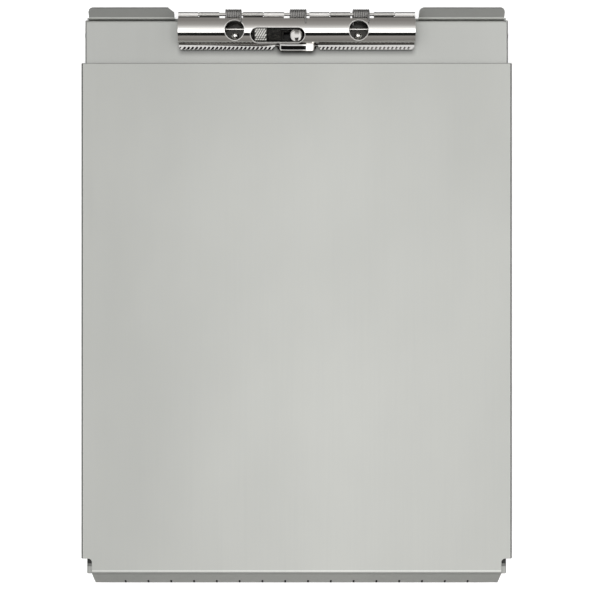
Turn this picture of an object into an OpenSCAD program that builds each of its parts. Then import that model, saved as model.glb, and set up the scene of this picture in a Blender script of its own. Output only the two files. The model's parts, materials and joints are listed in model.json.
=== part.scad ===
// Storage clipboard: an aluminium tray, a sliding writing plate over it and a locking spring clip.
// Millimetres. +Z is up from the back of the tray, +Y points to the clip end.

/* [Sheet metal] */
// Thickness of the aluminium sheet
sheet = 1; // [0.8:0.1:1.2]
// Outside radius of the folds in the aluminium
fold_r = 1.5; // [1.3:0.1:1.8]
// Clearance between faces that slide on each other
slide_gap = 0.3; // [0.2:0.05:0.4]

/* [Writing plate] */
// Width over the side flanges
plate_w = 238.1; // [230:0.1:260]
// Length from the clip-side edge to the fold of the ruler lip
plate_len = 280.8; // [240:0.1:340]
// Side play between the plate and the deck, each side
side_play = 0.95; // [0.8:0.05:1.1]
// Width of the hooks that turn in under the tray
hook_w = 8; // [6:0.5:9]
// Length of the sloped ruler lip
lip_len = 9.1; // [6:0.1:11]
// Slope of the ruler lip below the plate
lip_slope = 45; // [35:1:55]
// How much the ruler lip narrows at each end
lip_taper = 1; // [0.5:0.1:2]
// Width of the corner notches
notch_w = 5.9; // [5.5:0.1:8]
// Height of the corner notches above the lip's fold
notch_h = 8; // [6:0.1:12]
// Radius in the corner of the notches
notch_r = 2.2; // [1:0.1:3]
// Spacing of the ruler marks
mark_pitch = 12.7; // [12:0.1:13]
// Number of ruler marks
mark_count = 16; // [8:2:16]
// Width of one ruler mark
mark_w = 0.5; // [0.3:0.1:0.8]
// Length of one ruler mark up from the lip's edge
mark_len = 0.9; // [0.5:0.1:2]
// How far the plate slides
plate_travel = 240; // [150:1:240]

/* [Tray] */
// Height of the rails and the deck above the resting face
box_h = 17; // [16:0.5:22]
// Width of the rails that turn in over the tray
rail_w = 8; // [6:0.5:9]
// Width of the raised margins of the floor
margin_w = 9.8; // [9.5:0.1:12]
// How far the tray reaches past the lip's fold
tray_overhang = 0.5; // [0.2:0.1:0.8]
// Gap between the deck's edge and the tray's end wall
deck_gap = 0.45; // [0.3:0.05:0.8]
// Distance of the wall's low part below the deck
wall_drop = 3; // [3:0.5:5]
// Length of the folded corner tabs
tab_len = 12; // [10:0.5:16]

/* [Ears] */
// Gap between the clip and the ears' inner ends
ear_gap = 2.5; // [1.5:0.1:7]
// Distance of the ears' outer ends from the tray's sides
ear_inset = 1.5; // [1.5:0.1:10]
// Length of the leaning part of the ears
ear_len = 6; // [4:0.1:9]
// Lean of the ears from upright
ear_lean = 45; // [30:1:55]
// Radius of the ears' rounded corners
ear_r = 2.8; // [1.5:0.1:3.5]

/* [Deck] */
// Length of deck left open beside the clip
strip_len = 25; // [24.5:0.1:32]
// Length of deck under the writing plate
deck_lap = 13; // [8:0.5:20]
// Depth of the deck's side flanges
deck_flange = 7; // [6:0.5:8]
// Depth of the flange on the deck's free edge
edge_flange = 4; // [3:0.5:6]

/* [Clip] */
// Width of the clip
clip_w = 130; // [128:0.5:132]
// Thickness of the clip's steel sheet
clip_sheet = 0.8; // [0.6:0.05:0.8]
// Outside radius of the cover's front, a quarter of a tube
arch_r = 7.3; // [7.3:0.1:7.6]
// Outside radius of the cover's back, which slopes down to the hinge
back_r = 12; // [11.5:0.1:12.5]
// Distance of the hinge axis past the deck's edge
hinge_out = 2; // [1.9:0.05:2.1]
// Height of the hinge axis above the deck
hinge_h = 4.5; // [4.4:0.05:4.6]
// Radius of the hinge pin
pin_r = 0.8; // [0.6:0.05:0.8]
// Length of one hinge knuckle
knuckle_len = 11; // [9:0.5:11]
// Gap between neighbouring knuckles
knuckle_gap = 0.5; // [0.3:0.1:0.8]
// Clear length of the two outer spring bays
bay_len = 13; // [12:0.5:13]
// Clear length of the middle spring bay
mid_bay_len = 14; // [13:0.5:14]
// Reach of the toothed foot in front of the cover
foot_len = 2.7; // [2.5:0.1:3]
// Slope of the toothed foot
foot_slope = 17.5; // [10:0.5:19]
// Number of teeth on each side
tooth_count = 22; // [12:1:24]
// Spacing of the teeth
tooth_pitch = 2.24; // [1.8:0.02:2.24]
// Depth of the grooves between the teeth
tooth_depth = 0.5; // [0.3:0.05:0.55]
// Length of the grooves between the teeth
tooth_len = 1.3; // [1:0.1:1.5]
// Slant of the grooves between the teeth
tooth_slant = 40; // [20:1:45]
// Width of the finger tab
tab_w = 19.2; // [16:0.2:20]
// Outside radius of the finger tab's curl
tab_curl = 1.5; // [1.3:0.1:1.7]
// Slope of the finger tab down to its curl
tab_slope = 26; // [20:1:30]
// Reach of the finger tab in front of the toothed foot
tab_reach = 0.7; // [0.5:0.1:1.2]
// Width of the notch beside the finger tab
vee_w = 4; // [3:0.1:4.4]
// Radius of the two round holes
hole_r = 5.35; // [4:0.05:5.5]
// Distance of the holes and rivets from the middle
hole_x = 34; // [33:0.1:35]

/* [Springs] */
// Outside radius of the spring coils
coil_r = 2.8; // [2.75:0.05:2.85]
// Radius of the spring wire
wire_r = 0.5; // [0.4:0.05:0.5]
// Turns in each spring
coil_turns = 9; // [6:1:9]
// Length of the spring legs
leg_len = 6; // [4:0.5:7]

/* [Lock] */
// Place of the post along the clip
post_x = -0.3; // [-1:0.1:0]
// Radius of the post's domed head
dome_r = 3.2; // [2.8:0.1:3.2]
// Radius of the post's neck
neck_r = 1.6; // [1.2:0.1:1.6]
// Length of the slot in the cover
slot_len = 29.6; // [29:0.1:31]
// Half of the slot's width
slot_r = 3.65; // [3.5:0.05:3.75]
// Travel of the lock slide
lock_travel = 5; // [4:0.1:5]
// Thickness of the slide's fork
fork_t = 1.2; // [0.8:0.1:1.2]
// Length of the knurled thumb pad
pad_len = 6.5; // [5:0.1:7]

/* [Rivets] */
// Radius of the aluminium rivets' shanks
rivet_r = 1.6; // [1.2:0.1:1.8]
// Radius of the aluminium rivets' heads
rivet_head_r = 2.6; // [2.4:0.1:3]
// Height of the flush heads on the tray's sides
flush_head_h = 0.55; // [0.4:0.05:0.55]
// Height of the heads at the tray's corners
rivet_head_h = 0.9; // [0.6:0.1:1.2]

/* [Hidden] */
$fn = 64;

aluminium = "lightgray";
chromed = "silver";
spring_steel = "dimgray";
black_finish = "black";

// Overcut of holes and notches past the faces they open
cut = 1;
// Overlap of shapes that are joined into one
weld = 0.1;
// Radial clearance of a rivet in its hole, and of the pin in the turning knuckles
rivet_fit = 0.02;
pin_fit = 0.05;
inner_fold_r = fold_r - sheet;

// Heights
plate_z = box_h + slide_gap;
plate_top = plate_z + sheet;
margin_z = 2 * slide_gap + sheet;
deck_under = box_h - sheet;

// Half widths, from the outside in
plate_half = plate_w / 2;
deck_half = plate_half - sheet - side_play;
tray_half = deck_half - sheet;
margin_in = tray_half - margin_w;
lip_half = plate_half - notch_w;

// Lengths: y is zero at the fold of the ruler lip until the model is centred
deck_edge = plate_len + strip_len;
deck_start = plate_len - deck_lap;
rail_end = deck_start - slide_gap;
tray_start = -tray_overhang;
wall_in = deck_edge + deck_gap;
wall_out = wall_in + sheet;

// Fold of the ruler lip
lip_fold_y = fold_r * tan(lip_slope / 2);
lip_fold_z = plate_top - fold_r;
lip_tip_y = lip_fold_y - fold_r * sin(lip_slope) - lip_len * cos(lip_slope);

// Fold of the ears
ear_fold_y = wall_out + inner_fold_r;
ear_fold_z = box_h + slide_gap;
ear_in = clip_w / 2 + ear_gap;
ear_out = tray_half - ear_inset;
ear_chamfer = 1.6 * ear_r;
ear_tip_y = ear_fold_y - inner_fold_r * cos(ear_lean) + ear_len * sin(ear_lean);

middle_y = (lip_tip_y + ear_tip_y) / 2;

// Clip
hinge_y = deck_edge + hinge_out;
hinge_z = box_h + hinge_h;
knuckle_r = pin_r + clip_sheet;
base_top = box_h + clip_sheet;
foot_z = box_h + slide_gap;
foot_top = foot_z + clip_sheet;
arch_in = arch_r - clip_sheet;
arch_y = deck_edge - arch_r;
arch_z = foot_top + weld;
leg_y = arch_y - arch_r;
foot_front = leg_y - foot_len;
foot_drop = foot_len * tan(foot_slope);
// Back slope: its centre, and where it ends inside the knuckles
back_z = arch_z + arch_r - back_r;
knuckle_bite = 0.45;
back_sweep = atan2(hinge_y - arch_y, hinge_z - back_z) - asin((knuckle_r - knuckle_bite) / back_r);
// Finger tab, teeth, notches beside the tab and round holes
tab_y = foot_front - tab_reach + tab_curl;
tab_lip = 0.4;
curl_sides = 20;
tooth_margin = 0.7;
tooth_edge = 0.45;
vee_h = 2.4;
hole_back = 0.2;
hole_y = arch_y + hole_back;
foot_chamfer = 1.2;
clip_half = clip_w / 2;
pin_inset = 0.5;
knuckle_clear = 0.3;
spring_clear = 0.3;
heel_z = hinge_z - knuckle_r;
base_inset = 1;
base_front = arch_y - arch_in + base_inset;
base_gap = 0.6;
base_back = arch_y + arch_in - base_gap;
bead_r = 0.9;
bead_sink = 0.3;
bead_back = 1.9;

// Starts and ends of the knuckles on the right half, from the middle outwards
inner_cover_x = mid_bay_len / 2;
inner_cover_end = inner_cover_x + knuckle_len;
inner_base_x = inner_cover_end + knuckle_gap;
inner_base_end = inner_base_x + knuckle_len;
outer_base_x = inner_base_end + bay_len;
outer_base_end = outer_base_x + knuckle_len;
outer_cover_x = outer_base_end + knuckle_gap;

// Springs
coil_mid_r = coil_r - wire_r;
coil_pitch = 2 * wire_r * 0.98;
coil_len = (coil_turns - 1) * coil_pitch + 2 * wire_r;
leg_r = wire_r * 0.9;
// Where the side springs and the middle one sit in their bays
left_spring_x = -inner_base_end - spring_clear - coil_len;
middle_spring_shift = 1.3;
middle_spring_x = middle_spring_shift - coil_len / 2;
right_spring_gap = 1.9;
right_spring_x = inner_base_end + right_spring_gap;
leg_gap = 0.04;

// Lock: the parts of the slide are placed from the post
lock_inset = 2.35;
lock_y = arch_y - lock_inset;
slot_reach = 4.7;
slot_end = post_x + slot_reach;
slot_start = slot_end - slot_len;
slide_clear = 0.3;
dome_h = 2.6;
collar_r = 2.5;
collar_h = 0.6;
fork_rise = 4.6;
fork_top = box_h + fork_rise;
fork_z = fork_top - fork_t;
dome_z = fork_top + slide_clear;
fork_gap = 0.4;
fork_tip = post_x - dome_r - fork_gap;
fork_root = post_x - neck_r - slide_clear - lock_travel;
body_end = post_x - dome_r - lock_travel - slide_clear;
slider_half = 3;
pad_clear = 0.45;
body_inset = 0.8;
body_start = slot_start + body_inset;
pad_inset = 2.3;
pad_start = slot_start + pad_inset;
pad_half = slot_r - pad_clear;
pad_seat = 0.02;
strap_t = 0.6;
strap_w = 8;
strap_gap = 0.35;

// Rivets
clip_rivet_r = 1.3;
clip_head_r = 2.2;
clip_rivet_inset = 1.65;
clip_rivet_y = arch_y - clip_rivet_inset;
clip_head_h = 1.2;
tail_h = 0.9;
tab_h = 8;
deck_rivet_drop = 4;
deck_rivet_z = box_h - deck_rivet_drop;
deck_rivet_inset = 8;
deck_rivet_y = [deck_start + deck_rivet_inset, deck_edge - deck_rivet_inset];
corner_rivet_x = tray_half - sheet - tab_len / 2;
corner_rivet_z = box_h / 2;
stop_tab_x = tray_half + slide_gap + 0.1;
stop_tab_z = 4;
stop_tab_h = 4;
stop_tab_len = 3;
stop_tab_inset = 2;
stop_tab_y = plate_len - stop_tab_inset - stop_tab_len;
stop_head_r = 2.5;
stop_rivet_y = stop_tab_y - plate_travel - stop_head_r - slide_gap;
stop_rivet_z = stop_tab_z + stop_tab_h / 2;
stop_head_h = 1.2;

// Moves the drawing so that the whole part is centred on the origin
module centred() {
    translate([0, -middle_y, 0]) children();
}

// Draws once on the right and once mirrored on the left
module both_sides() {
    children();
    mirror([1, 0, 0]) children();
}

// Rectangle from (x0, y0) to (x1, y1)
module rect(x0, y0, x1, y1) {
    translate([x0, y0]) square([x1 - x0, y1 - y0]);
}

// Rectangle with round corners, symmetric about x = 0
module round_rect(half, y0, y1, r) {
    rect(-half + r, y0, half - r, y1);
    rect(-half, y0 + r, half, y1 - r);
    for (x = [-half + r, half - r], y = [y0 + r, y1 - r]) translate([x, y]) circle(r);
}

// Turns a section drawn in (x, z) into a bar from y0 to y1
module along_y(y0, y1) {
    translate([0, y1, 0]) rotate([90, 0, 0]) linear_extrude(y1 - y0) children();
}

// Turns a section drawn in (y, z) into a bar from x0 to x1
module along_x(x0, x1) {
    translate([x0, 0, 0]) rotate([90, 0, 90]) linear_extrude(x1 - x0) children();
}

// Turns an outline drawn in (x, y) into a block from z0 to z1
module along_z(z0, z1) {
    translate([0, 0, z0]) linear_extrude(z1 - z0) children();
}

// Cylinder along X from x0 to x1
module rod_x(x0, x1, y, z, r) {
    translate([x0, y, z]) rotate([0, 90, 0]) cylinder(h = x1 - x0, r = r);
}

// Quarter-round filler for an inner corner at the origin, filling towards +x and +y
module fillet(r) {
    difference() {
        square(r);
        translate([r, r]) circle(r);
    }
}

// Part of a ring between two angles less than 180 degrees apart
module ring_part(r_out, r_in, a0, a1) {
    reach = 2 * r_out / cos((a1 - a0) / 2);
    mid = (a0 + a1) / 2;
    intersection() {
        difference() {
            circle(r_out);
            circle(r_in);
        }
        polygon([[0, 0], [reach * cos(a0), reach * sin(a0)], [reach * cos(mid), reach * sin(mid)],
            [reach * cos(a1), reach * sin(a1)]]);
    }
}

// Low domed rivet head on z = 0
module rivet_head(r, h) {
    cap_r = (r * r + h * h) / (2 * h);
    rotate_extrude() intersection() {
        translate([0, h - cap_r]) circle(cap_r);
        square([r, h]);
    }
}

// Rivet with its domed head on z = 0, its shank through the sheets and a flat tail
module rivet(shank_r, head_r, head_h, grip) {
    rivet_head(head_r, head_h);
    translate([0, 0, -grip]) cylinder(h = grip + head_h / 2, r = shank_r);
    translate([0, 0, -grip - tail_h]) cylinder(h = tail_h, r = head_r * 0.85);
}

// Cuts a round corner of radius r off a shape whose corner is the origin
module corner_cut(r) {
    difference() {
        translate([-cut, -cut]) square(r + cut);
        translate([r, r]) circle(r);
    }
}

// Rectangle with only its upper corners round, symmetric about x = 0
module cap_rect(half, y0, y1, r) {
    rect(-half + r, y0, half - r, y1);
    rect(-half, y0, half, y1 - r);
    for (x = [-half + r, half - r]) translate([x, y1 - r]) circle(r);
}

// Rivet hole through the right side of the tray and the deck's flange
module side_hole(y, z) {
    rod_x(tray_half - 2 * sheet, plate_half, y, z, rivet_r + rivet_fit);
}

// Hole for a rivet of the clip's base, from z0 up through a sheet of thickness t
module base_hole(z0, t) {
    translate([0, 0, z0 - cut]) cylinder(h = t + 2 * cut, r = clip_rivet_r + rivet_fit);
}

// Section of the tray: sunk floor, raised margins, walls and rails
module tray_section() {
    difference() {
        round_rect(tray_half, margin_z, box_h, fold_r);
        round_rect(tray_half - sheet, margin_z + sheet, box_h - sheet, inner_fold_r);
        rect(-tray_half + rail_w, box_h - sheet - cut, tray_half - rail_w, box_h + cut);
        rect(-margin_in, margin_z - cut, margin_in, margin_z + sheet + cut);
    }
    difference() {
        rect(-margin_in - sheet, 0, margin_in + sheet, margin_z + sheet);
        rect(-margin_in, sheet, margin_in, margin_z + sheet + cut);
    }
}

// Outline of an end wall up to the height z1
module end_wall_section(z1) {
    rect(-tray_half, margin_z + fold_r, tray_half, z1);
    rect(-tray_half + fold_r, margin_z, tray_half - fold_r, z1);
    rect(-margin_in - sheet, 0, margin_in + sheet, z1);
}

// Tabs turned in from the side walls, against an end wall's inner face at y0
module corner_tabs(y0) {
    both_sides() translate([tray_half - sheet - tab_len, y0, corner_rivet_z - tab_h / 2])
        cube([tab_len + sheet / 2, sheet, tab_h]);
}

// Outline of the right ear, seen square to its slope; chamfered is its inner corner
module ear_outline(chamfered) {
    difference() {
        rect(ear_in, -box_h, ear_out, ear_len);
        translate([ear_out, ear_len]) rotate(180) corner_cut(ear_r);
        if (chamfered) translate([ear_in, ear_len]) rotate(45) square(ear_chamfer, center = true);
        else translate([ear_in, ear_len]) rotate(-90) corner_cut(ear_r);
    }
}

// Right ear: upright wall, fold and leaning plate
module ear(chamfered) {
    intersection() {
        along_x(ear_in - cut, ear_out + cut) {
            rect(wall_in, box_h - wall_drop - cut, wall_out, ear_fold_z);
            translate([ear_fold_y, ear_fold_z]) {
                ring_part(fold_r, inner_fold_r, 180 - ear_lean, 180);
                rotate(90 - ear_lean) rect(0, inner_fold_r, ear_len, fold_r);
            }
        }
        translate([0, ear_fold_y, ear_fold_z]) rotate([90 - ear_lean, 0, 0])
            translate([0, 0, -box_h]) linear_extrude(2 * box_h) ear_outline(chamfered);
    }
}

// Tray without its ears, with the deck's seat and the ruler lip's room cut out
module tray_pan() {
    wall_top = box_h - wall_drop;
    seat_z = deck_under - inner_fold_r;
    lip_room = lip_half + slide_gap;
    difference() {
        union() {
            along_y(tray_start, wall_out) tray_section();
            along_y(tray_start, tray_start + sheet) end_wall_section(wall_top);
            along_y(wall_in, wall_out) end_wall_section(wall_top);
            corner_tabs(tray_start + sheet);
            corner_tabs(wall_in - sheet);
        }
        translate([-plate_half, rail_end, seat_z])
            cube([plate_w, wall_out - rail_end + cut, box_h]);
        translate([-lip_room, tray_start - cut, wall_top])
            cube([2 * lip_room, 2 * sheet + tray_overhang + cut, wall_drop + cut]);
    }
}

module storage_tray() {
    color(aluminium) centred() difference() {
        union() {
            tray_pan();
            ear(false);
            mirror([1, 0, 0]) ear(true);
        }
        both_sides() {
            for (y = deck_rivet_y) side_hole(y, deck_rivet_z);
            side_hole(stop_rivet_y, stop_rivet_z);
            for (y = [tray_start, wall_out]) translate([corner_rivet_x, y, corner_rivet_z])
                rotate([90, 0, 0]) cylinder(h = 6 * sheet, r = rivet_r + rivet_fit, center = true);
        }
    }
}

// Section of the deck across its width
module deck_section() {
    difference() {
        cap_rect(deck_half, box_h - deck_flange, box_h, fold_r);
        cap_rect(deck_half - sheet, box_h - deck_flange - cut, box_h - sheet, inner_fold_r);
    }
}

// Places of the rivets and the post that hold the clip's base to the deck
module at_clip_rivets() {
    for (x = [-hole_x, hole_x]) translate([x, clip_rivet_y, 0]) children();
    translate([post_x, lock_y, 0]) children();
}

module clip_deck() {
    edge_half = deck_half - sheet - slide_gap;
    color(aluminium) centred() difference() {
        union() {
            along_y(deck_start, deck_edge - fold_r) deck_section();
            along_x(-edge_half, edge_half) {
                translate([deck_edge - fold_r, box_h - fold_r]) ring_part(fold_r, inner_fold_r, 0, 90);
                rect(deck_edge - sheet, box_h - edge_flange, deck_edge, box_h - fold_r);
            }
        }
        at_clip_rivets() base_hole(deck_under, sheet);
        both_sides() for (y = deck_rivet_y) side_hole(y, deck_rivet_z);
    }
}

// Section of the writing plate with its flanges and hooks
module plate_section() {
    difference() {
        round_rect(plate_half, slide_gap, plate_top, fold_r);
        round_rect(plate_half - sheet, slide_gap + sheet, plate_z, inner_fold_r);
        rect(-plate_half + hook_w, slide_gap - cut, plate_half - hook_w, slide_gap + sheet + cut);
    }
}

// Fold and sloped ruler lip, narrower at its edge, with the marks cut into that edge
module ruler_lip() {
    difference() {
        along_x(-lip_half, lip_half) translate([lip_fold_y, lip_fold_z]) {
            ring_part(fold_r, inner_fold_r, 90, 90 + lip_slope);
            rotate(lip_slope) rect(-lip_len, inner_fold_r, 0, fold_r);
        }
        translate([0, lip_fold_y, lip_fold_z]) rotate([lip_slope, 0, 0]) {
            both_sides() translate([0, 0, -cut]) linear_extrude(fold_r + 2 * cut)
                polygon([[lip_half, 0], [lip_half + cut, 0], [lip_half + cut, -lip_len - cut],
                    [lip_half - lip_taper, -lip_len - cut], [lip_half - lip_taper, -lip_len]]);
            for (i = [0 : mark_count - 1])
                translate([(i - (mark_count - 1) / 2) * mark_pitch - mark_w / 2, -lip_len - cut, 0])
                    cube([mark_w, mark_len + cut, fold_r + cut]);
        }
    }
}

module writing_plate() {
    color(aluminium) centred() {
        along_y(notch_h, plate_len) plate_section();
        translate([0, 0, plate_z]) linear_extrude(sheet) {
            rect(-lip_half, lip_fold_y, lip_half, notch_h + sheet);
            both_sides() translate([lip_half - weld, notch_h]) mirror([0, 1]) fillet(notch_r);
        }
        ruler_lip();
        both_sides() translate([stop_tab_x, stop_tab_y, stop_tab_z])
            cube([plate_half - sheet / 2 - stop_tab_x, stop_tab_len, stop_tab_h]);
    }
}

// Section of one of the base's hinge tabs, sloping up from the plate to the knuckle
module base_tab_section() {
    polygon([[base_back - cut, box_h], [base_back, box_h], [hinge_y, heel_z],
        [hinge_y, heel_z + 1.4 * clip_sheet], [base_back - 0.3 * clip_sheet, base_top],
        [base_back - cut, base_top]]);
    translate([hinge_y, hinge_z]) circle(knuckle_r);
}

// Section of the pressed bead that stiffens the base behind the rivets
module bead_section() {
    translate([arch_y + bead_back, base_top - bead_sink]) intersection() {
        circle(bead_r);
        rect(-bead_r, 0, bead_r, bead_r);
    }
}

module clip_base() {
    base_half = clip_half - base_inset;
    bead_half = base_half - base_inset;
    color(chromed) centred() difference() {
        union() {
            along_x(-base_half, base_half) rect(base_front, box_h, base_back, base_top);
            along_x(-bead_half, bead_half) bead_section();
            both_sides() for (x = [outer_base_x, inner_base_x])
                along_x(x, x + knuckle_len) base_tab_section();
        }
        rod_x(-clip_w, clip_w, hinge_y, hinge_z, pin_r + rivet_fit);
        at_clip_rivets() base_hole(box_h, clip_sheet);
    }
}

// Section of the cover: quarter tube in front with its foot, and the back slope
module arch_section() {
    translate([arch_y, arch_z]) ring_part(arch_r, arch_in, 89, 180);
    translate([arch_y, back_z]) ring_part(back_r, back_r - clip_sheet, 90 - back_sweep, 90);
    polygon([[foot_front, foot_z], [foot_front, foot_top], [leg_y, foot_top + foot_drop],
        [arch_y - arch_in, foot_top + foot_drop], [arch_y - arch_in, foot_z + foot_drop],
        [leg_y, foot_z + foot_drop]]);
    translate([leg_y + weld / 2, foot_top + foot_drop - clip_sheet * tan(foot_slope)])
        mirror([1, 0]) fillet(clip_sheet);
}

// Room under the cover, seen along the hinge
module under_cover() {
    intersection() {
        translate([arch_y, arch_z]) circle(arch_in);
        rect(leg_y, foot_z, arch_y, arch_z + arch_r);
    }
    intersection() {
        translate([arch_y, back_z]) circle(back_r - clip_sheet);
        rect(arch_y - weld, foot_z, hinge_y, arch_z + arch_r);
    }
}

// Room in the cover's back edge for a fixed knuckle or a spring of radius r
module hinge_room(x0, x1, r) {
    rod_x(x0, x1, hinge_y, hinge_z, r);
}

// Slot from x0 to x1 with round ends of radius r, cut upwards from z0
module long_slot(x0, x1, y, z0, r) {
    translate([0, y, z0]) linear_extrude(2 * arch_r) {
        rect(x0 + r, -r, x1 - r, r);
        for (x = [x0 + r, x1 - r]) translate([x, 0]) circle(r);
    }
}

// Section of the finger tab: it slopes down from the cover and curls up at its end
module tab_section() {
    tab_in = tab_curl - clip_sheet;
    leg_in = arch_y - arch_in - tab_y;
    turn = (90 + tab_slope) / curl_sides;
    inside = [for (i = [0 : curl_sides]) tab_in * [-cos(i * turn), -sin(i * turn)]];
    outside = [for (i = [curl_sides : -1 : 0]) tab_curl * [-cos(i * turn), -sin(i * turn)]];
    translate([tab_y, foot_z + tab_curl]) polygon(concat([[-tab_in, tab_lip]], inside,
        [[leg_in, leg_in * tan(tab_slope) - tab_in / cos(tab_slope)],
        [leg_in, leg_in * tan(tab_slope) - tab_curl / cos(tab_slope)]], outside,
        [[-tab_curl, tab_lip]]));
}

module finger_tab() {
    tab_top = foot_z + 2 * tab_curl;
    intersection() {
        along_x(-tab_w / 2, tab_w / 2) tab_section();
        along_z(foot_z - cut, tab_top + cut) {
            rect(-tab_w / 2 + tab_curl, foot_front - tab_curl, tab_w / 2 - tab_curl, arch_y);
            rect(-tab_w / 2, foot_front - tab_reach + tab_curl, tab_w / 2, arch_y);
            for (x = [-tab_w / 2 + tab_curl, tab_w / 2 - tab_curl]) translate([x, tab_y]) circle(tab_curl);
        }
    }
}

// Row of grooves along the foot's upper face, starting at x0
module tooth_row(x0) {
    translate([0, foot_front, foot_top]) rotate([foot_slope, 0, 0]) for (i = [0 : tooth_count - 1])
        translate([x0 + i * tooth_pitch, tooth_edge, 0]) rotate([-90, 0, -tooth_slant])
            cylinder(h = tooth_len, r = tooth_depth, $fn = 4);
}

// Section of one of the cover's knuckles
module cover_knuckle_section() {
    translate([hinge_y, hinge_z]) circle(knuckle_r);
}

module clip_cover() {
    vee_x = tab_w / 2;
    tooth_x = vee_x + vee_w + tooth_margin;
    color(chromed) centred() {
        difference() {
            union() {
                along_x(-clip_half, clip_half) arch_section();
                both_sides() {
                    along_x(inner_cover_x, inner_cover_end) cover_knuckle_section();
                    along_x(outer_cover_x, clip_half) cover_knuckle_section();
                }
            }
            rod_x(-clip_w, clip_w, hinge_y, hinge_z, pin_r + pin_fit);
            both_sides() {
                hinge_room(inner_cover_end, inner_base_end, knuckle_r + knuckle_clear);
                hinge_room(outer_base_x, outer_cover_x, knuckle_r + knuckle_clear);
                hinge_room(inner_base_end, outer_base_x, coil_r + spring_clear);
                translate([hole_x, hole_y, arch_z + 1]) cylinder(h = arch_r, r = hole_r);
                along_z(foot_z - cut, foot_top + foot_drop + cut) {
                    polygon([[vee_x - weld, foot_front - cut], [vee_x + vee_w, foot_front - cut],
                        [vee_x + vee_w / 2, foot_front + vee_h]]);
                    translate([clip_half, foot_front]) rotate(45)
                        square(foot_chamfer * sqrt(2), center = true);
                }
            }
            tooth_row(tooth_x);
            tooth_row(-tooth_x - (tooth_count - 1) * tooth_pitch - tooth_len * sin(tooth_slant));
            hinge_room(-inner_cover_x, inner_cover_x, coil_r + spring_clear);
            long_slot(slot_start, slot_end, lock_y, arch_z + 2, slot_r);
            along_z(foot_z - cut, foot_top + foot_drop + cut)
                rect(-vee_x, foot_front - cut, vee_x, leg_y + weld / 2);
        }
        finger_tab();
    }
}

module hinge_pin() {
    pin_half = clip_half - pin_inset;
    color(chromed) centred() rod_x(-pin_half, pin_half, hinge_y, hinge_z, pin_r);
}

// Torsion spring whose coils start at x0: one leg on the base, the other over the cover
module torsion_spring(x0) {
    dy = arch_y - hinge_y;
    dz = back_z - hinge_z;
    lift = asin((back_r + leg_r + leg_gap - coil_mid_r) / sqrt(dy * dy + dz * dz));
    slope = 360 + atan2(dz, dy) - lift;
    drop = hinge_z - base_top - leg_r - leg_gap;
    base_slope = asin(drop / sqrt(coil_mid_r * coil_mid_r + leg_len * leg_len)) - atan2(coil_mid_r, leg_len);
    color(spring_steel) centred() {
        translate([x0 + wire_r, hinge_y, hinge_z]) rotate([0, 90, 0]) rotate_extrude()
            for (i = [0 : coil_turns - 1]) translate([coil_mid_r, i * coil_pitch])
                circle(wire_r, $fn = 32);
        translate([x0 + coil_len - wire_r, hinge_y, hinge_z]) rotate([slope, 0, 0])
            translate([0, 0, -coil_mid_r]) rotate([-90, 0, 0])
                cylinder(h = leg_len, r = leg_r, $fn = 32);
        translate([x0 + wire_r, hinge_y, hinge_z]) rotate([base_slope, 0, 0])
            translate([0, 0, -coil_mid_r]) rotate([90, 0, 0]) cylinder(h = leg_len, r = leg_r, $fn = 32);
    }
}

module spring_left() {
    torsion_spring(left_spring_x);
}

module spring_middle() {
    torsion_spring(middle_spring_x);
}

module spring_right() {
    torsion_spring(right_spring_x);
}

// Rivet that holds the clip's base to the deck
module clip_rivet(x) {
    color(chromed) centred() translate([x, clip_rivet_y, base_top])
        rivet(clip_rivet_r, clip_head_r, clip_head_h, clip_sheet + sheet);
}

module clip_rivet_left() {
    clip_rivet(-hole_x);
}

module clip_rivet_right() {
    clip_rivet(hole_x);
}

module lock_post() {
    color(chromed) centred() translate([post_x, lock_y, 0]) {
        translate([0, 0, dome_z]) rivet_head(dome_r, dome_h);
        translate([0, 0, base_top]) cylinder(h = dome_z - base_top + weld, r = neck_r);
        translate([0, 0, base_top]) cylinder(h = collar_h, r = collar_r);
        translate([0, 0, deck_under]) cylinder(h = base_top - deck_under + weld, r = clip_rivet_r);
        translate([0, 0, deck_under - tail_h]) cylinder(h = tail_h, r = clip_head_r * 0.85);
    }
}

// Section of the slide under the half tube, up to the height z1
module slider_section(z1) {
    intersection() {
        translate([arch_y, arch_z]) circle(arch_in - slide_clear);
        rect(lock_y - slider_half, fork_z, lock_y + slider_half, z1);
    }
}

module lock_slider() {
    color(black_finish) centred() difference() {
        union() {
            along_x(body_start, body_end) slider_section(arch_z + arch_r);
            along_x(body_end - cut, fork_tip) slider_section(fork_top);
        }
        translate([fork_root, lock_y - neck_r - slide_clear, fork_z - cut])
            cube([fork_tip - fork_root + cut, 2 * (neck_r + slide_clear), fork_t + 2 * cut]);
    }
}

module thumb_pad() {
    color(chromed) centred() along_x(pad_start, pad_start + pad_len) intersection() {
        translate([arch_y, arch_z]) difference() {
            circle(arch_r + slide_clear);
            circle(arch_in - slide_clear + pad_seat);
        }
        rect(lock_y - pad_half, fork_z, lock_y + pad_half, arch_z + 2 * arch_r);
    }
}

module slider_bridge() {
    strap_z = fork_z - slide_clear - strap_t;
    back_y = lock_y + slot_r + strap_gap;
    strap_x = (body_start + body_end) / 2 - strap_w / 2;
    color(chromed) centred() along_x(strap_x, strap_x + strap_w) intersection() {
        under_cover();
        union() {
            rect(arch_y - arch_r, strap_z, back_y + strap_t, strap_z + strap_t);
            rect(back_y, strap_z, back_y + strap_t, arch_z + arch_r);
        }
    }
}

// Flush rivets through the deck's flange and the tray's wall, on the right
module deck_rivets() {
    color(aluminium) centred() for (y = deck_rivet_y) translate([deck_half, y, deck_rivet_z])
        rotate([0, 90, 0]) rivet(rivet_r, rivet_head_r, flush_head_h, 2 * sheet);
}

module deck_rivets_left() {
    mirror([1, 0, 0]) deck_rivets();
}

module deck_rivets_right() {
    deck_rivets();
}

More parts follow.
